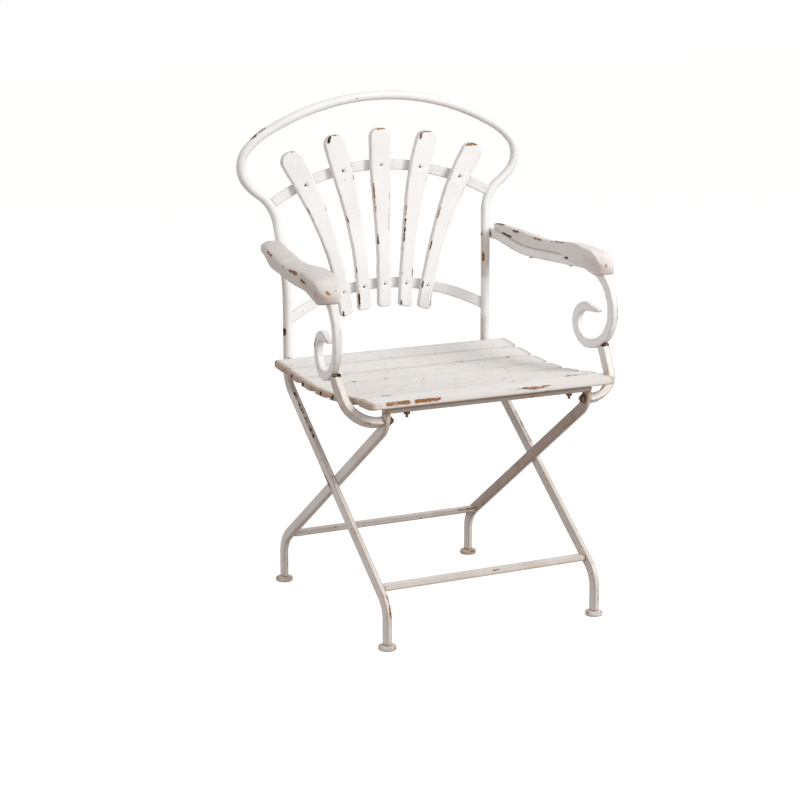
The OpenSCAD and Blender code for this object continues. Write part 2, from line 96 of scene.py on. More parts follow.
def new_group(name, inputs, outputs):
    tree = bpy.data.node_groups.new(name, "ShaderNodeTree")
    for label, kind in inputs:
        tree.interface.new_socket(label, in_out="INPUT", socket_type="NodeSocket" + kind)
    for label, kind in outputs:
        tree.interface.new_socket(label, in_out="OUTPUT", socket_type="NodeSocket" + kind)
    given = tree.nodes.new("NodeGroupInput").outputs
    wanted = tree.nodes.new("NodeGroupOutput").inputs
    return tree, given, wanted


# ---------- shared effects ----------

def make_peel_group():
    """Where paint has come off, the stain round it and what shows beneath."""
    tree, given, wanted = new_group(
        "peeled_paint",
        [("Where", "Vector"), ("Chip", "Float"), ("Dark", "Float"), ("Edge", "Float"),
         ("Edge Wear", "Float"), ("Speckle", "Float"), ("Bare", "Color"), ("Burnt", "Color")],
        [("Mask", "Float"), ("Stain", "Float"), ("Under", "Color")])
    where = given["Where"]
    ragged = calc(tree, "SUBTRACT", cloud(tree, where, 420.0, 5.0, 0.7), 0.5)
    patchy = calc(tree, "SUBTRACT", cloud(tree, where, 75.0, 2.0, 0.5), 0.5)
    core = calc(tree, "MINIMUM", given["Chip"], 0.62)
    sure = calc(tree, "MAXIMUM", calc(tree, "SUBTRACT", given["Chip"], 1.0), 0.0)
    core = calc(tree, "MULTIPLY_ADD", sure, 3.0, core)
    field = calc(tree, "MULTIPLY_ADD", ragged, 1.5, core)
    field = calc(tree, "MULTIPLY_ADD", patchy, 0.9, field)
    field = calc(tree, "MULTIPLY", field, fade(tree, given["Chip"], 0.0, 0.12))
    chipped = fade(tree, field, 0.46, 0.53)
    worn = calc(tree, "MULTIPLY", given["Edge"], given["Edge Wear"])
    worn = calc(tree, "MULTIPLY_ADD", patchy, 2.2, worn)
    worn = calc(tree, "MULTIPLY_ADD", ragged, 0.9, worn)
    rubbed = fade(tree, worn, 0.82, 0.92)
    fleck = cloud(tree, where, 210.0, 1.0, 0.5)
    limit = calc(tree, "SUBTRACT", 0.83, calc(tree, "MULTIPLY", given["Speckle"], 0.12))
    flecked = fade(tree, calc(tree, "SUBTRACT", fleck, limit), 0.0, 0.012)
    mask = calc(tree, "MAXIMUM", chipped, calc(tree, "MAXIMUM", rubbed, flecked))
    halo = calc(tree, "MAXIMUM", fade(tree, field, 0.20, 0.50), fade(tree, worn, 0.62, 0.9))
    deep = calc(tree, "MULTIPLY_ADD", ragged, 1.6, given["Dark"])
    tree.links.new(mask, wanted["Mask"])
    tree.links.new(halo, wanted["Stain"])
    tree.links.new(blend_colour(tree, fade(tree, deep, 0.35, 0.85), given["Bare"], given["Burnt"]),
                   wanted["Under"])
    return tree


def make_brush_group():
    """Brush marks and raised grain under old paint, with uneven tone."""
    tree, given, wanted = new_group(
        "brushed_coat",
        [("Where", "Vector"), ("Stretch", "Vector"), ("Strength", "Float")],
        [("Height", "Float"), ("Tone", "Float"), ("Grime", "Float")])
    drawn = add_node(tree, "ShaderNodeVectorMath", {0: given["Where"], 1: given["Stretch"]},
                     operation="MULTIPLY").outputs[0]
    marks = cloud(tree, drawn, 1.0, 4.0, 0.65)
    lumps = cloud(tree, given["Where"], 90.0, 3.0, 0.5)
    pores = cloud(tree, given["Where"], 700.0, 2.0, 0.5)
    drawn_marks = calc(tree, "MULTIPLY", marks, given["Strength"])
    height = calc(tree, "MULTIPLY_ADD", lumps, 0.7, drawn_marks)
    tree.links.new(calc(tree, "MULTIPLY_ADD", pores, 0.15, height), wanted["Height"])
    broad = cloud(tree, given["Where"], 11.0, 3.0, 0.55)
    tree.links.new(calc(tree, "ADD", calc(tree, "MULTIPLY", broad, 0.7),
                        calc(tree, "MULTIPLY", marks, 0.3)), wanted["Tone"])
    darkening = cloud(tree, given["Where"], 34.0, 5.0, 0.7)
    tree.links.new(fade(tree, darkening, 0.52, 0.78), wanted["Grime"])
    return tree


def make_rust_group():
    """Mottled rust with darker pits."""
    tree, given, wanted = new_group(
        "mottled_rust", [("Where", "Vector"), ("Light", "Color"), ("Deep", "Color")],
        [("Color", "Color"), ("Height", "Float")])
    broad = cloud(tree, given["Where"], 160.0, 5.0, 0.7)
    fine = cloud(tree, given["Where"], 900.0, 3.0, 0.6)
    mix = calc(tree, "MULTIPLY_ADD", fine, 0.5, calc(tree, "MULTIPLY", broad, 0.8))
    tree.links.new(blend_colour(tree, fade(tree, mix, 0.5, 0.82), given["Deep"], given["Light"]),
                   wanted["Color"])
    tree.links.new(mix, wanted["Height"])
    return tree


PEEL = make_peel_group()
BRUSH = make_brush_group()
RUST = make_rust_group()


def place_group(tree, group, values):
    made = tree.nodes.new("ShaderNodeGroup")
    made.node_tree = group
    for key, value in values.items():
        put(tree, made.inputs[key], value)
    return made


def carried(tree, name):
    return add_node(tree, "ShaderNodeAttribute", attribute_name=name).outputs["Fac"]


# ---------- materials ----------

CREAM = (0.885, 0.882, 0.88, 1.0)
CREAM_SHADE = (0.83, 0.82, 0.81, 1.0)
# Leg, rail and bracket steel: the same cream paint made darker and warmer, painted shade for these parts.
SHADED_LEG_CREAM = (0.80, 0.78, 0.76, 1.0)
STEEL_SHADE = (0.69, 0.645, 0.61, 1.0)
# Armrest cream: the same paint made darker than the back slats' cream, painted shade on the upward-facing
# rests.
SHADED_ARM_CREAM = (0.83, 0.80, 0.785, 1.0)
ARM_SHADE = (0.74, 0.70, 0.68, 1.0)
SEAT_GREY = (0.82, 0.815, 0.80, 1.0)
OCHRE_STAIN = (0.40, 0.24, 0.13, 1.0)
DIRT_AND_SHADE_BROWN = (0.33, 0.215, 0.15, 1.0)
BARE_RUST = (0.30, 0.115, 0.035, 1.0)
BARE_WOOD = (0.30, 0.135, 0.050, 1.0)
NEAR_BLACK = (0.020, 0.011, 0.006, 1.0)


def painted(name, coat, shade, bare, stretch, flow, grain, edge_wear, edge_tint, speckle,
            dirtiness, rough, bump):
    made = bpy.data.materials.new(name)
    made.use_nodes = True
    tree = made.node_tree
    shader = tree.nodes["Principled BSDF"]
    where = add_node(tree, "ShaderNodeTexCoord").outputs["Object"]
    brush = place_group(tree, BRUSH, {"Where": where, "Stretch": stretch, "Strength": grain})
    along = add_node(tree, "ShaderNodeVectorMath", {0: where, 1: flow},
                     operation="MULTIPLY").outputs[0]
    peel = place_group(tree, PEEL, {
        "Where": along, "Chip": carried(tree, "chip"), "Dark": carried(tree, "dark"),
        "Edge": carried(tree, "edge"), "Edge Wear": edge_wear, "Speckle": speckle,
        "Bare": bare, "Burnt": NEAR_BLACK})
    tone = fade(tree, brush.outputs["Tone"], 0.35, 0.65)
    colour = blend_colour(tree, tone, shade, coat)
    uneven = calc(tree, "MULTIPLY_ADD", brush.outputs["Grime"], 0.5, 0.5)
    # The soil_and_shade attribute darkens towards the dirt brown: real soil, and painted shade where stain
    # strokes stand for shadow.
    soiled_and_shaded = calc(tree, "MULTIPLY", carried(tree, "soil_and_shade"), uneven)
    darkening = calc(tree, "MULTIPLY_ADD", brush.outputs["Grime"], dirtiness, soiled_and_shaded)
    colour = blend_colour(tree, calc(tree, "MINIMUM", darkening, 0.85), colour, DIRT_AND_SHADE_BROWN)
    thin = calc(tree, "MULTIPLY", fade(tree, carried(tree, "edge"), 0.15, 0.9), edge_tint)
    colour = blend_colour(tree, thin, colour, OCHRE_STAIN)
    ringed = calc(tree, "MULTIPLY", peel.outputs["Stain"], 0.68)
    colour = blend_colour(tree, ringed, colour, OCHRE_STAIN)
    colour = blend_colour(tree, peel.outputs["Mask"], colour, peel.outputs["Under"])
    put(tree, shader.inputs["Base Color"], colour)
    gloss = calc(tree, "MULTIPLY_ADD", peel.outputs["Mask"], 0.35, rough)
    put(tree, shader.inputs["Roughness"], gloss)
    flat = calc(tree, "MULTIPLY_ADD", peel.outputs["Mask"], -1.4, brush.outputs["Height"])
    relief = add_node(tree, "ShaderNodeBump",
                      {"Strength": bump, "Distance": BUMP_DEPTH, "Height": flat})
    put(tree, shader.inputs["Normal"], relief.outputs[0])
    shine = calc(tree, "MULTIPLY_ADD", peel.outputs["Mask"], -0.27, 0.35)
    put(tree, shader.inputs["Specular IOR Level"], shine)
    return made


def make_back_wood():
    return painted("painted_back_wood", CREAM, CREAM_SHADE, BARE_WOOD, (420.0, 420.0, 16.0),
                   (1.0, 1.0, 0.45), 1.3, 0.42, 0.10, 0.30, 0.06, 0.5, 0.45)


def make_seat_wood():
    return painted("painted_seat_wood", SEAT_GREY, CREAM_SHADE, BARE_WOOD, (14.0, 420.0, 420.0),
                   (0.28, 1.0, 1.0), 1.8, 0.62, 0.42, 0.66, 0.26, 0.55, 0.6)


def make_arm_wood():
    return painted("painted_arm_wood", SHADED_ARM_CREAM, ARM_SHADE, BARE_WOOD, (380.0, 14.0, 380.0),
                   (1.0, 0.5, 1.0), 1.6, 0.46, 0.20, 0.6, 0.22, 0.52, 0.6)


def make_back_steel():
    return painted("painted_back_steel", CREAM, CREAM_SHADE, BARE_RUST, (120.0, 120.0, 60.0),
                   (1.0, 1.0, 0.6), 0.25, 0.42, 0.26, 0.38, 0.12, 0.42, 0.06)


def make_leg_steel():
    return painted("painted_leg_steel", SHADED_LEG_CREAM, STEEL_SHADE, BARE_RUST, (120.0, 120.0, 60.0),
                   (1.0, 1.0, 0.6), 0.5, 0.58, 0.62, 0.7, 0.30, 0.42, 0.20)


def make_foot_coat():
    return painted("painted_feet", CREAM_SHADE, (0.42, 0.35, 0.28, 1.0), BARE_RUST,
                   (150.0, 150.0, 150.0), (1.0, 1.0, 1.0), 0.8, 0.95, 0.6, 1.3, 0.8, 0.55, 0.7)


def make_rusty_steel():
    made = bpy.data.materials.new("rusty_steel")
    made.use_nodes = True
    tree = made.node_tree
    shader = tree.nodes["Principled BSDF"]
    where = add_node(tree, "ShaderNodeTexCoord").outputs["Object"]
    rust = place_group(tree, RUST, {"Where": where, "Light": (0.30, 0.20, 0.13, 1.0),
                                    "Deep": (0.035, 0.024, 0.018, 1.0)})
    put(tree, shader.inputs["Base Color"], rust.outputs["Color"])
    relief = add_node(tree, "ShaderNodeBump", {"Strength": 0.6, "Distance": BUMP_DEPTH,
                                               "Height": rust.outputs["Height"]})
    put(tree, shader.inputs["Normal"], relief.outputs[0])
    shader.inputs["Roughness"].default_value = 0.62
    shader.inputs["Metallic"].default_value = 0.55
    return made


# ---------- meshes ----------

def link(name, mesh):
    made = bpy.data.objects.new(name, mesh)
    bpy.context.scene.collection.objects.link(made)
    return made


def settle(piece):
    """Turns the piece's modifiers into plain mesh."""
    ready = piece.evaluated_get(bpy.context.evaluated_depsgraph_get())
    mesh = bpy.data.meshes.new_from_object(ready)
    piece.modifiers.clear()
    piece.data = mesh
    return piece


def softened_copy(node, voxel, rounds):
    """The node's shape again with even, dense faces and eased edges."""
    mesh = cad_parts[node].data.copy()
    mesh.materials.clear()
    work = bmesh.new()
    work.from_mesh(mesh)
    bmesh.ops.remove_doubles(work, verts=work.verts, dist=1e-5)
    work.to_mesh(mesh)
    work.free()
    piece = link(node + "_finish", mesh)
    grid = piece.modifiers.new("grid", "REMESH")
    grid.mode = "VOXEL"
    grid.voxel_size = voxel
    grid.use_smooth_shade = True
    ease = piece.modifiers.new("ease", "SMOOTH")
    ease.factor = 0.5
    ease.iterations = rounds
    return settle(piece)


def points_of(piece):
    flat = np.empty(len(piece.data.vertices) * 3, np.float32)
    piece.data.vertices.foreach_get("co", flat)
    return flat.reshape(-1, 3).astype(float)


def set_points(piece, points):
    piece.data.vertices.foreach_set("co", points.astype(np.float32).ravel())
    piece.data.update()


def carry(piece, name, values):
    layer = piece.data.attributes.get(name) or piece.data.attributes.new(name, "FLOAT", "POINT")
    layer.data.foreach_set("value", values.astype(np.float32))


def edge_field(piece):
    """High on outer edges, low on flats and in hollows."""
    mesh = piece.data
    points = points_of(piece)
    pairs = np.empty(len(mesh.edges) * 2, np.int64)
    mesh.edges.foreach_get("vertices", pairs)
    a, b = pairs.reshape(-1, 2).T
    normals = np.empty(len(mesh.vertices) * 3, np.float32)
    mesh.vertices.foreach_get("normal", normals)
    normals = normals.reshape(-1, 3)
    bend = np.zeros(len(points))
    count = np.zeros(len(points))
    apart = points[b] - points[a]
    span = np.maximum(np.linalg.norm(apart, axis=1), 1e-7)
    turn = ((normals[b] - normals[a]) * apart).sum(axis=1) / span
    for end in (a, b):
        np.add.at(bend, end, turn)
        np.add.at(count, end, 1)
    bend /= np.maximum(count, 1)
    for _ in range(2):
        total, count = bend.copy(), np.ones(len(points))
        for end, other in ((a, b), (b, a)):
            np.add.at(total, end, bend[other])
            np.add.at(count, end, 1)
        bend = total / count
    return np.clip(bend * EDGE_GAIN, 0, 1)


def along_piece(points, axis, across, depth, bins=60):
    """Share of the length, and place across and through the piece from -1 to 1."""
    low, high = points[:, axis].min(), points[:, axis].max()
    share = (points[:, axis] - low) / (high - low)
    cell = np.clip((share * bins).astype(int), 0, bins - 1)
    spots = [share]
    halves = []
    for side in (across, depth):
        least = np.full(bins, np.inf)
        most = np.full(bins, -np.inf)
        np.minimum.at(least, cell, points[:, side])
        np.maximum.at(most, cell, points[:, side])
        full = np.isfinite(least)
        middle = np.arange(bins)[full] + 0.5
        least = np.interp(share * bins, middle, least[full])
        most = np.interp(share * bins, middle, most[full])
        half = np.maximum((most - least) / 2, 1e-4)
        spots.append((points[:, side] - (least + most) / 2) / half)
        halves.append(half)
    return spots, high - low, halves


def nearness(spots, length, halves, stroke):
    """1 in the middle of a stroke, falling to 0 at its reach. OPEN ignores a direction."""
    start, end, side, face, reach, _ = stroke
    share, across, through = spots
    far = np.maximum(np.abs(share - (start + end) / 2) - (end - start) / 2, 0) * length
    aside = 0 if side is OPEN else np.abs(across - side) * halves[0]
    off = 0 if face is OPEN else np.abs(through - face) * halves[1]
    return np.clip(1 - np.sqrt(far ** 2 + aside ** 2 + off ** 2) / (reach * MM), 0, 1)


def wear(piece, axes, strokes, stains_and_shade=(), soil_and_shade=0.0, edges=True):
    """Writes chips, and stains with painted shade among them, along a piece: (from, to, across, through,
    reach, depth).
    """
    points = points_of(piece)
    chip = np.zeros(len(points))
    dark = np.full(len(points), 0.35)
    soiled_and_shaded = np.full(len(points), float(soil_and_shade))
    measured = along_piece(points, *axes)
    for stroke in strokes:
        near = nearness(*measured, stroke)
        dark = np.where(near > chip, stroke[-1], dark)
        chip = np.maximum(chip, near)
    for stroke in stains_and_shade:
        near = nearness(*measured, stroke)
        soiled_and_shaded = np.maximum(soiled_and_shaded, near * stroke[-1])
    carry(piece, "chip", chip)
    carry(piece, "dark", dark)
    carry(piece, "edge", edge_field(piece) if edges else np.zeros(len(points)))
    carry(piece, "soil_and_shade", soiled_and_shaded)


def finish_piece(piece, material, nodes):
    piece.data.materials.clear()
    piece.data.materials.append(material)
    for face in piece.data.polygons:
        face.use_smooth = True
    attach(piece, "root")
    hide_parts(*nodes)


X, Y, Z = 0, 1, 2
UPRIGHT = (Z, X, Y)
CROSSWISE = (X, Z, Y)
LEGWISE = (Z, Y, X)
ARMWISE = (Y, X, Z)
LEFT, RIGHT, FRONT, BACK = -1, 1, -1, 1

BACK_SLAT_WEAR = [
    [(0.59, 0.66, LEFT, FRONT, 4.0, 0.8), (0.64, 0.67, RIGHT, FRONT, 4.6, 0.1),
     (0.37, 0.41, LEFT, FRONT, 3.2, 0.6), (0.01, 0.03, -0.6, FRONT, 3.0, 1.0),
     (0.0, 0.004, OPEN, FRONT, 2.0, 0.4), (0.997, 1.0, OPEN, FRONT, 1.4, 0.4)],
    [(0.96, 0.99, -0.7, FRONT, 4.0, 0.8), (0.996, 1.0, OPEN, FRONT, 1.6, 0.5),
     (0.51, 0.54, LEFT, FRONT, 4.6, 0.1),
     (0.68, 0.69, LEFT, FRONT, 2.6, 0.5), (0.61, 0.62, LEFT, FRONT, 2.6, 0.5),
     (0.37, 0.39, LEFT, FRONT, 3.0, 0.5), (0.22, 0.25, LEFT, FRONT, 3.6, 0.5),
     (0.82, 0.83, RIGHT, FRONT, 4.0, 0.3), (0.75, 0.77, RIGHT, FRONT, 4.4, 0.3),
     (0.03, 0.09, LEFT, FRONT, 4.6, 1.0)],
    [(0.993, 1.0, OPEN, FRONT, 1.5, 0.3), (0.54, 0.69, LEFT, FRONT, 4.2, 0.2),
     (0.36, 0.41, LEFT, FRONT, 3.8, 0.9), (0.44, 0.65, RIGHT, FRONT, 3.6, 0.1)],
    [(0.96, 0.99, -0.7, FRONT, 4.5, 0.8), (0.992, 1.0, OPEN, FRONT, 1.8, 0.1),
     (0.53, 0.58, LEFT, FRONT, 3.6, 0.5), (0.44, 0.50, LEFT, FRONT, 5.2, 0.9),
     (0.38, 0.42, LEFT, FRONT, 4.4, 0.7), (0.33, 0.34, LEFT, FRONT, 2.8, 0.6),
     (0.02, 0.04, -0.8, FRONT, 3.2, 0.7), (0.72, 0.74, RIGHT, FRONT, 4.2, 0.4),
     (0.17, 0.20, RIGHT, FRONT, 4.4, 0.4)],
    [(0.985, 1.0, OPEN, FRONT, 2.0, 0.3), (0.78, 0.83, LEFT, FRONT, 3.6, 0.3),
     (0.70, 0.71, LEFT, FRONT, 2.6, 0.5), (0.56, 0.62, LEFT, FRONT, 4.6, 0.2),
     (0.37, 0.41, LEFT, FRONT, 3.6, 0.6), (0.14, 0.17, LEFT, FRONT, 4.6, 0.8),
     (0.61, 0.73, RIGHT, FRONT, 4.2, 0.1), (0.49, 0.53, RIGHT, FRONT, 4.0, 0.3),
     (0.02, 0.05, 0.9, FRONT, 3.0, 0.5)],
]
SEAT_AXES = (X, Y, Z)
SEAT_SLAT_WEAR = [
    [(0.0, 0.0, 0.2, 1, 6.0, 0.4)],
    [(0.0, 0.01, 0.0, 0, 8.0, 0.7), (0.35, 0.36, FRONT, 1, 2.8, 0.6)],
    [(0.0, 0.01, 0.4, 0, 8.0, 0.8), (0.57, 0.58, FRONT, 1, 3.0, 0.3)],
    [(0.0, 0.01, -0.3, 0, 7.0, 0.9), (0.42, 0.43, 0.0, 1, 2.6, 0.6)],
    [(0.0, 0.01, 0.1, 0, 9.0, 1.0), (0.22, 0.25, FRONT, 1, 3.2, 0.4)],
    [(0.0, 0.01, 0.5, 0, 7.0, 0.7), (0.11, 0.14, FRONT, 1, 4.2, 0.3),
     (0.86, 0.95, FRONT, 1, 4.5, 0.2), (0.70, 0.71, FRONT, 1, 3.0, 0.2)],
    [(0.07, 0.15, FRONT, 0.6, 6.5, 0.0), (0.18, 0.27, FRONT, 0.6, 6.0, 0.1),
     (0.61, 0.63, FRONT, 1, 4.6, 0.6), (0.64, 0.70, FRONT, 0.7, 6.0, 0.0),
     (0.70, 0.72, FRONT, 1, 4.0, 0.5), (0.02, 0.03, -0.6, 0, 4.0, 1.0),
     (0.99, 1.0, 0.2, 1, 5.5, 0.1), (0.995, 1.0, 0.7, 0, 4.0, 0.9)],
]


def make_back_slats(material):
    for number, strokes in enumerate(BACK_SLAT_WEAR, 1):
        node = "back_slat_%d" % number
        piece = softened_copy(node, SLAT_GRID, 4)
        wear(piece, UPRIGHT, strokes)
        finish_piece(piece, material, [node])


# Soil at both ends of each slat, and painted shade along each slat's rear top edge beside the gap to the
# next slat.
SEAT_STAINS_AND_SHADE = [(0.0, 0.012, OPEN, OPEN, 9.0, 1.4), (0.985, 1.0, OPEN, OPEN, 8.0, 0.8),
               (0.0, 1.0, BACK, 1, 4.0, 1.0)]


def make_seat_slats(material):
    for number, strokes in enumerate(SEAT_SLAT_WEAR, 1):
        node = "seat_slat_%d" % number
        piece = softened_copy(node, SEAT_GRID, 4)
        wear(piece, SEAT_AXES, strokes, SEAT_STAINS_AND_SHADE, 0.08)
        finish_piece(piece, material, [node])


ARMREST_WEAR = {
    "armrest_left": ([(0.74, 0.82, LEFT, 0.42, 4.2, 0.6), (0.53, 0.54, LEFT, 0.4, 3.5, 0.9),
                      (0.38, 0.43, LEFT, 0.42, 5.0, 0.5), (0.31, 0.38, LEFT, 0.36, 6.0, 0.6),
                      (0.19, 0.25, LEFT, -0.1, 4.2, 0.4), (0.0, 0.02, -0.45, 0.6, 4.5, 0.1)],
                     [(0.0, 0.24, LEFT, -0.2, 30.0, 1.0), (0.24, 0.9, LEFT, -0.1, 26.0, 0.55),
                      (0.0, 0.01, -0.6, 0.4, 14.0, 1.0)]),
    "armrest_right": ([(0.86, 0.95, -0.75, 1, 4.5, 1.0), (0.72, 0.76, LEFT, 0.85, 4.0, 0.9),
                       (0.78, 0.86, LEFT, 0.0, 4.0, 0.9), (0.52, 0.58, LEFT, 0.85, 4.0, 0.1),
                       (0.32, 0.44, LEFT, 0.95, 3.5, 0.5), (0.28, 0.31, LEFT, -0.6, 4.0, 1.0),
                       (0.01, 0.04, -0.2, 0.3, 6.0, 0.2)],
                      [(0.0, 0.10, -0.4, 0.0, 24.0, 0.9)]),
}


def make_armrests(material):
    """Carved rests: the top falls away to the outside and every edge is rounded."""
    for node, (strokes, stains_and_shade) in ARMREST_WEAR.items():
        piece = softened_copy(node, REST_GRID, 22)
        points = points_of(piece)
        (_, across, height), _, _ = along_piece(points, *ARMWISE)
        outward = across if node.endswith("right") else -across
        fall = np.clip(outward * 0.5 + 0.35, 0, 1) ** 1.5 * CROWN_FALL
        points[:, Z] -= fall * np.clip(height * 0.5 + 0.5, 0, 1) ** 2
        set_points(piece, points)
        wear(piece, ARMWISE, strokes, stains_and_shade, 0.12)
        finish_piece(piece, material, [node])


# ---------- the back tube ----------

def round_bend(before, corner, after, radius, step=3.0):
    into = (corner - before).normalized()
    out = (after - corner).normalized()
    turn = into.angle(out)
    inward = (out - into * into.dot(out)).normalized()
    centre = corner - into * radius * math.tan(turn / 2) + inward * radius
    count = max(2, math.ceil(math.degrees(turn) / step))
    angles = [turn * k / count for k in range(count + 1)]
    return [centre + radius * (into * math.sin(a) - inward * math.cos(a)) for a in angles]


def swept_tube(name, line, radius, sides=28, stride=0.0035):
    path = [line[0]]
    for a, b in zip(line, line[1:]):
        cuts = max(1, round((b - a).length / stride))
        path += [a.lerp(b, k / cuts) for k in range(1, cuts + 1)]
    verts, faces = [], []
    for i, spot in enumerate(path):
        heading = (path[min(i + 1, len(path) - 1)] - path[max(i - 1, 0)]).normalized()
        side = heading.cross(Vector((0, 1, 0))).normalized()
        up = side.cross(heading)
        for k in range(sides):
            angle = 2 * math.pi * k / sides
            verts.append(spot + radius * (side * math.cos(angle) + up * math.sin(angle)))
    for i in range(len(path) - 1):
        for k in range(sides):
            j = (k + 1) % sides
            faces.append([i * sides + k, i * sides + j, (i + 1) * sides + j, (i + 1) * sides + k])
    faces.append(list(range(sides))[::-1])
    faces.append([(len(path) - 1) * sides + k for k in range(sides)])
    mesh = bpy.data.meshes.new(name)
    mesh.from_pydata([list(v) for v in verts], [], faces)
    mesh.update()
    work = bmesh.new()
    work.from_mesh(mesh)
    bmesh.ops.recalc_face_normals(work, faces=work.faces)
    work.to_mesh(mesh)
    work.free()
    return link(name, mesh)


TUBE_RADIUS = 8.5 * MM
FOOT_INSET = 17.95 * MM
SHOULDER_OUT = 0.0956
TUBE_TOP = 929.2 * MM
ARCH_PEAK = 0.987
SHOULDER_FOOT = 0.8
BEND_RADII = [0.35, 0.074, 0.095, 0.047, 0.15]
ARCH_RADIUS = 0.5


def tube_line():
    """The middle line of the back tube, from the right foot over the arch to the left foot."""
    low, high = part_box("back_frame")
    foot_x = high.x - (SHOULDER_OUT + TUBE_RADIUS) + FOOT_INSET
    foot_y, back_y = low.y + TUBE_RADIUS, high.y - TUBE_RADIUS
    top = high.z - TUBE_TOP
    corners = [(0, low.z, foot_y), (0, 0.585, foot_y), (0.013, 0.728, back_y),
               (0.054, 0.755, back_y), (SHOULDER_OUT, 0.801, back_y), (0.0457, 0.851, back_y)]
    right = [Vector((foot_x + out, y, z + top if z > SHOULDER_FOOT else z))
             for out, z, y in corners]
    left = [Vector((-p.x, p.y, p.z)) for p in reversed(right)]
    corners = right + [Vector((0, back_y, ARCH_PEAK + top))] + left
    radii = BEND_RADII + [ARCH_RADIUS] + BEND_RADII[::-1]
    line = [corners[0]]
    for i, radius in enumerate(radii, 1):
        line += round_bend(corners[i - 1], corners[i], corners[i + 1], radius)
    return line + [corners[-1]]


def make_back_tube(material):
    piece = swept_tube("back_tube", tube_line(), TUBE_RADIUS)
    # Among the stains, the patch on the right upright just below the arm joint (0.28 to 0.43 up) is
    # painted shadow of the arm.
    wear(piece, UPRIGHT, [(0.85, 0.91, LEFT, OPEN, 8.0, 0.7), (0.005, 0.02, -0.97, OPEN, 4.0, 0.3),
                          (0.11, 0.13, LEFT, OPEN, 4.0, 0.9), (0.33, 0.36, 0.93, OPEN, 2.5, 0.2)],
         [(0.0, 0.45, LEFT, OPEN, 9.0, 0.6), (0.28, 0.43, 0.93, OPEN, 12.0, 1.0),
          (0.0, 0.1, 0.93, OPEN, 12.0, 0.8)], edges=False)
    finish_piece(piece, material, ["back_frame"])


# ---------- flat bars and fixings ----------

BAR_WEAR = {
    "upper_band": (CROSSWISE, []),
    "lower_band": (CROSSWISE, []),
    "front_leg_left": (LEGWISE, [(0.73, 0.88, FRONT, LEFT, 8.5, 0.8), (0.12, 0.20, FRONT, RIGHT, 6.0, 0.2),
                                 (0.23, 0.29, FRONT, RIGHT, 5.5, 0.3),
                                 (0.55, 0.575, 0.6, LEFT, 8.0, 0.9)]),
    "front_leg_right": (LEGWISE, [(0.63, 0.73, FRONT, RIGHT, 9.0, 0.1),
                                  (0.20, 0.26, FRONT, RIGHT, 4.5, 0.5),
                                  (0.05, 0.09, FRONT, RIGHT, 4.0, 0.6)]),
    "rear_leg_left": (LEGWISE, [(0.32, 0.42, 0.9, LEFT, 4.0, 0.6),
                                (0.05, 0.07, FRONT, RIGHT, 4.0, 0.8)]),
    "rear_leg_right": (LEGWISE, [(0.3, 0.36, FRONT, LEFT, 4.0, 0.7)]),
    "front_rail": (CROSSWISE, [(0.3, 0.34, -1, FRONT, 2.5, 0.5),
                               (0.62, 0.7, -1, FRONT, 2.5, 0.4)]),
    "rear_rail": (CROSSWISE, []),
    "front_crossbar": (CROSSWISE, [(0.53, 0.56, 1, FRONT, 4.0, 0.3)]),
    "rear_crossbar": (CROSSWISE, [(0.9, 1.0, 1, FRONT, 3.0, 0.3)]),
    "seat_strap_left": (ARMWISE, []),
    "seat_strap_right": (ARMWISE, []),
    "arm_bar_left": (UPRIGHT, [(0.28, 0.34, OPEN, 0.9, 5.0, 0.8), (0.02, 0.16, RIGHT, FRONT, 6.0, 0.9),
                               (0.30, 0.33, LEFT, 0.6, 4.0, 0.9),
                               (0.1, 0.28, LEFT, 0.6, 3.5, 0.1)]),
    "arm_bar_right": (UPRIGHT, [(0.26, 0.33, LEFT, 0.5, 6.0, 0.8), (0.02, 0.06, LEFT, FRONT, 5.0, 0.9),
                                (0.30, 0.32, LEFT, 0.4, 4.0, 0.9),
                                (0.3, 0.6, RIGHT, FRONT, 3.0, 0.1)]),
    "arm_bracket_left": (UPRIGHT, [(0.97, 1.0, OPEN, OPEN, 4.0, 1.0),
                                   (0.5, 0.7, LEFT, FRONT, 3.0, 0.5)]),
    "arm_bracket_right": (UPRIGHT, [(0.97, 1.0, OPEN, OPEN, 4.0, 0.9)]),
}


BAR_STAINS_AND_SHADE = {
    "front_leg_left": [(0.90, 1.0, OPEN, OPEN, 14.0, 0.9), (0.54, 0.60, 0.6, LEFT, 12.0, 1.2)],
    # rear_leg_right: inner face darkened along most of the leg, painted shade on the side turned from the
    # key lamp.
    "rear_leg_right": [(0.2, 1.0, OPEN, LEFT, 12.0, 1.3)],
    # front_rail: front face and top front edge darkened, painted shadow of the seat slats above.
    "front_rail": [(0.0, 1.0, OPEN, FRONT, 9.0, 0.5), (0.0, 1.0, 1, FRONT, 6.0, 1.3)],
    # arm bars: lower inner front of each bar, under the front seat slat, darkened as painted shadow of
    # that slat; the top inner side is darker too.
    "arm_bar_left": [(0.0, 0.5, RIGHT, FRONT, 9.0, 0.9), (0.9, 1.0, RIGHT, OPEN, 9.0, 1.2)],
    "arm_bar_right": [(0.0, 0.15, LEFT, FRONT, 9.0, 0.9), (0.86, 1.0, LEFT, BACK, 24.0, 1.3)],
    "arm_bracket_left": [(0.0, 1.0, LEFT, OPEN, 7.0, 0.7)],
}


def make_bars(back_steel, leg_steel):
    for node, (axes, strokes) in BAR_WEAR.items():
        voxel = THIN_BAR_GRID if node.startswith(("upper", "lower", "seat")) else BAR_GRID
        piece = softened_copy(node, voxel, 3)
        wear(piece, axes, strokes, BAR_STAINS_AND_SHADE.get(node, ()), 0.06)
        material = back_steel if node.startswith(("upper", "lower", "arm_bar")) else leg_steel
        finish_piece(piece, material, [node])


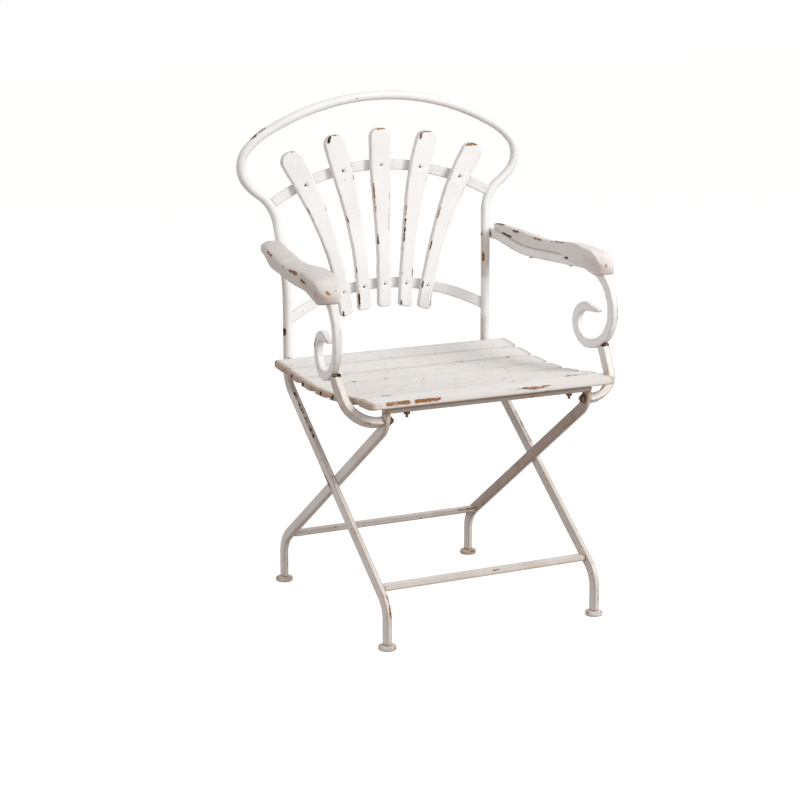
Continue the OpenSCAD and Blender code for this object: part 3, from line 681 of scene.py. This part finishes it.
def make_feet(material):
    for node in ("foot_front_left", "foot_front_right", "foot_rear_left", "foot_rear_right"):
        piece = softened_copy(node, FOOT_GRID, 2)
        wear(piece, UPRIGHT, [])
        finish_piece(piece, material, [node])


def make_slat_screws(material):
    """Painted-over screw heads: each has a dark driver hole in its middle."""
    hole, head = 1.25 * MM, 4.0 * MM
    work = bmesh.new()
    work.from_mesh(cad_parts["back_slat_screws"].data)
    bmesh.ops.remove_doubles(work, verts=work.verts, dist=1e-5)
    left = set(work.verts)
    middles = []
    while left:
        group, edge = [], [left.pop()]
        while edge:
            spot = edge.pop()
            group.append(spot.co.copy())
            near = {e.other_vert(spot) for e in spot.link_edges} & left
            left -= near
            edge += near
        reach = [(min(c[k] for c in group), max(c[k] for c in group)) for k in (X, Y, Z)]
        middles.append(((reach[X][0] + reach[X][1]) / 2, reach[Y][0],
                        (reach[Z][0] + reach[Z][1]) / 2))
    work.free()
    piece = softened_copy("back_slat_screws", FIXING_GRID, 1)
    points = points_of(piece)
    chip = np.zeros(len(points))
    for x, y, z in middles:
        out = np.hypot(points[:, X] - x, points[:, Z] - z)
        front = (out < head * 1.2) & (points[:, Y] < y + 1.4 * MM)
        pit = front & (out < hole)
        points[pit, Y] = y + 1.1 * MM
        chip = np.where(front, np.maximum(chip, np.clip(2.0 - out / hole, 0, 1.6)), chip)
    set_points(piece, points)
    wear(piece, UPRIGHT, [])
    carry(piece, "chip", chip)
    # Paint is off in each driver hole, and the hole is coloured near-black: painted shade in the recess.
    carry(piece, "dark", np.full(len(points), 1.5))
    carry(piece, "edge", np.zeros(len(points)))
    finish_piece(piece, material, ["back_slat_screws"])


def make_fixings(material):
    for node in ("seat_slat_screws", "armrest_screws", "rail_studs", "rail_nuts",
                 "arm_bolts", "bracket_bolts", "bracket_washers", "bracket_nuts"):
        piece = softened_copy(node, FIXING_GRID, 1)
        finish_piece(piece, material, [node])


# ---------- room, lamps and camera ----------

def make_floor():
    bpy.ops.mesh.primitive_plane_add(size=30.0, location=(0, 0, 0))
    floor = bpy.context.object
    floor.name = "floor"
    made = bpy.data.materials.new("pale_floor")
    made.use_nodes = True
    tree = made.node_tree
    shader = tree.nodes["Principled BSDF"]
    shader.inputs["Base Color"].default_value = (0.30, 0.26, 0.235, 1)
    shader.inputs["Roughness"].default_value = 1.0
    shader.inputs["Specular IOR Level"].default_value = 0.0
    rays = add_node(tree, "ShaderNodeLightPath").outputs
    seen = calc(tree, "MAXIMUM", rays["Is Camera Ray"], rays["Is Glossy Ray"])
    lift = calc(tree, "MULTIPLY", seen, 0.87)
    shader.inputs["Emission Color"].default_value = (1, 1, 1, 1)
    put(tree, shader.inputs["Emission Strength"], lift)
    floor.data.materials.append(made)


def make_world():
    world = bpy.data.worlds.new("studio")
    bpy.context.scene.world = world
    world.use_nodes = True
    tree = world.node_tree
    back = tree.nodes["Background"]
    rays = add_node(tree, "ShaderNodeLightPath").outputs
    seen = calc(tree, "MAXIMUM", rays["Is Camera Ray"], rays["Is Glossy Ray"])
    tint = blend_colour(tree, seen, (1.0, 0.975, 0.965, 1), (1, 1, 1, 1))
    put(tree, back.inputs["Color"], tint)
    put(tree, back.inputs["Strength"], calc(tree, "MULTIPLY_ADD", seen, 0.48, 0.52))


def make_lamp(name, place, target, size, watts, colour):
    lamp = bpy.data.lights.new(name, "AREA")
    lamp.shape = "DISK"
    lamp.size = size
    lamp.energy = watts
    lamp.color = colour
    made = link(name, lamp)
    made.location = place
    made.rotation_euler = (Vector(target) - Vector(place)).to_track_quat("-Z", "Y").to_euler()


def make_lights():
    make_lamp("key", (2.2, -2.6, 2.6), (0, 0, 0.5), 1.7, 112.0, (1.0, 1.0, 0.995))
    make_lamp("fill", (-3.2, -2.2, 1.5), (0, 0, 0.5), 1.8, 30.0, (1.0, 0.98, 0.965))


def make_camera():
    lens = bpy.data.cameras.new("camera")
    lens.lens = 96.0
    lens.sensor_width = 36.0
    made = link("camera", lens)
    made.location = (-1.8135, -3.3709, 1.2105)
    made.rotation_euler = (math.radians(77.73), 0, math.radians(-27.36))
    bpy.context.scene.camera = made


def main():
    make_camera()
    make_world()
    make_lights()
    make_floor()
    back_wood = make_back_wood()
    make_back_slats(back_wood)
    make_slat_screws(back_wood)
    make_seat_slats(make_seat_wood())
    make_armrests(make_arm_wood())
    back_steel = make_back_steel()
    make_back_tube(back_steel)
    make_bars(back_steel, make_leg_steel())
    make_feet(make_foot_coat())
    make_fixings(make_rusty_steel())
    bpy.context.scene.view_settings.view_transform = "Standard"


main()
